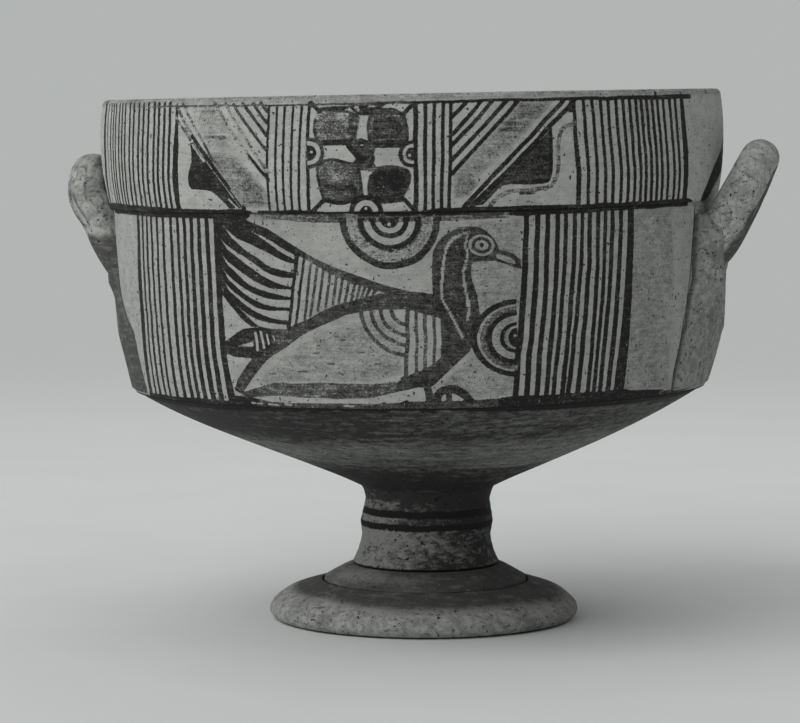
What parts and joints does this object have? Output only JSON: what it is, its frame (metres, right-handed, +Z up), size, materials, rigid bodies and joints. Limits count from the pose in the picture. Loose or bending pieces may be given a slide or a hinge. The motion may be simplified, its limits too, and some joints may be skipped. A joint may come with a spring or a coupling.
{
  "type": "two-handled footed pottery bowl",
  "caption": "Deep painted clay bowl with a sharp turn low on its side, a set-off rim band, upturned loop handles and a hollow stem on a disc foot.",
  "frame": {"origin": "on the ground, under the middle of the vessel's whole width and depth", "axes": "+X towards the right handle, -Y towards the decorated front, +Z up"},
  "size_m": [0.2994, 0.2612, 0.2235],
  "materials": {
    "slip": "matt pale slip with dark painted lines",
    "paint": "worn matt dark paint, streaked by the brush",
    "clay": "bare fired clay with thin worn wash"
  },
  "bodies": {
    "root": {"foot_disc": "clay", "foot_collar": "clay", "stem": "paint", "stem_collar": "paint", "bowl_floor": "paint", "bowl_wall": "slip", "rim_band": "slip", "handle_right": "clay", "handle_pad_right": "clay", "handle_left": "clay", "handle_pad_left": "clay"}
  },
  "joints": []
}
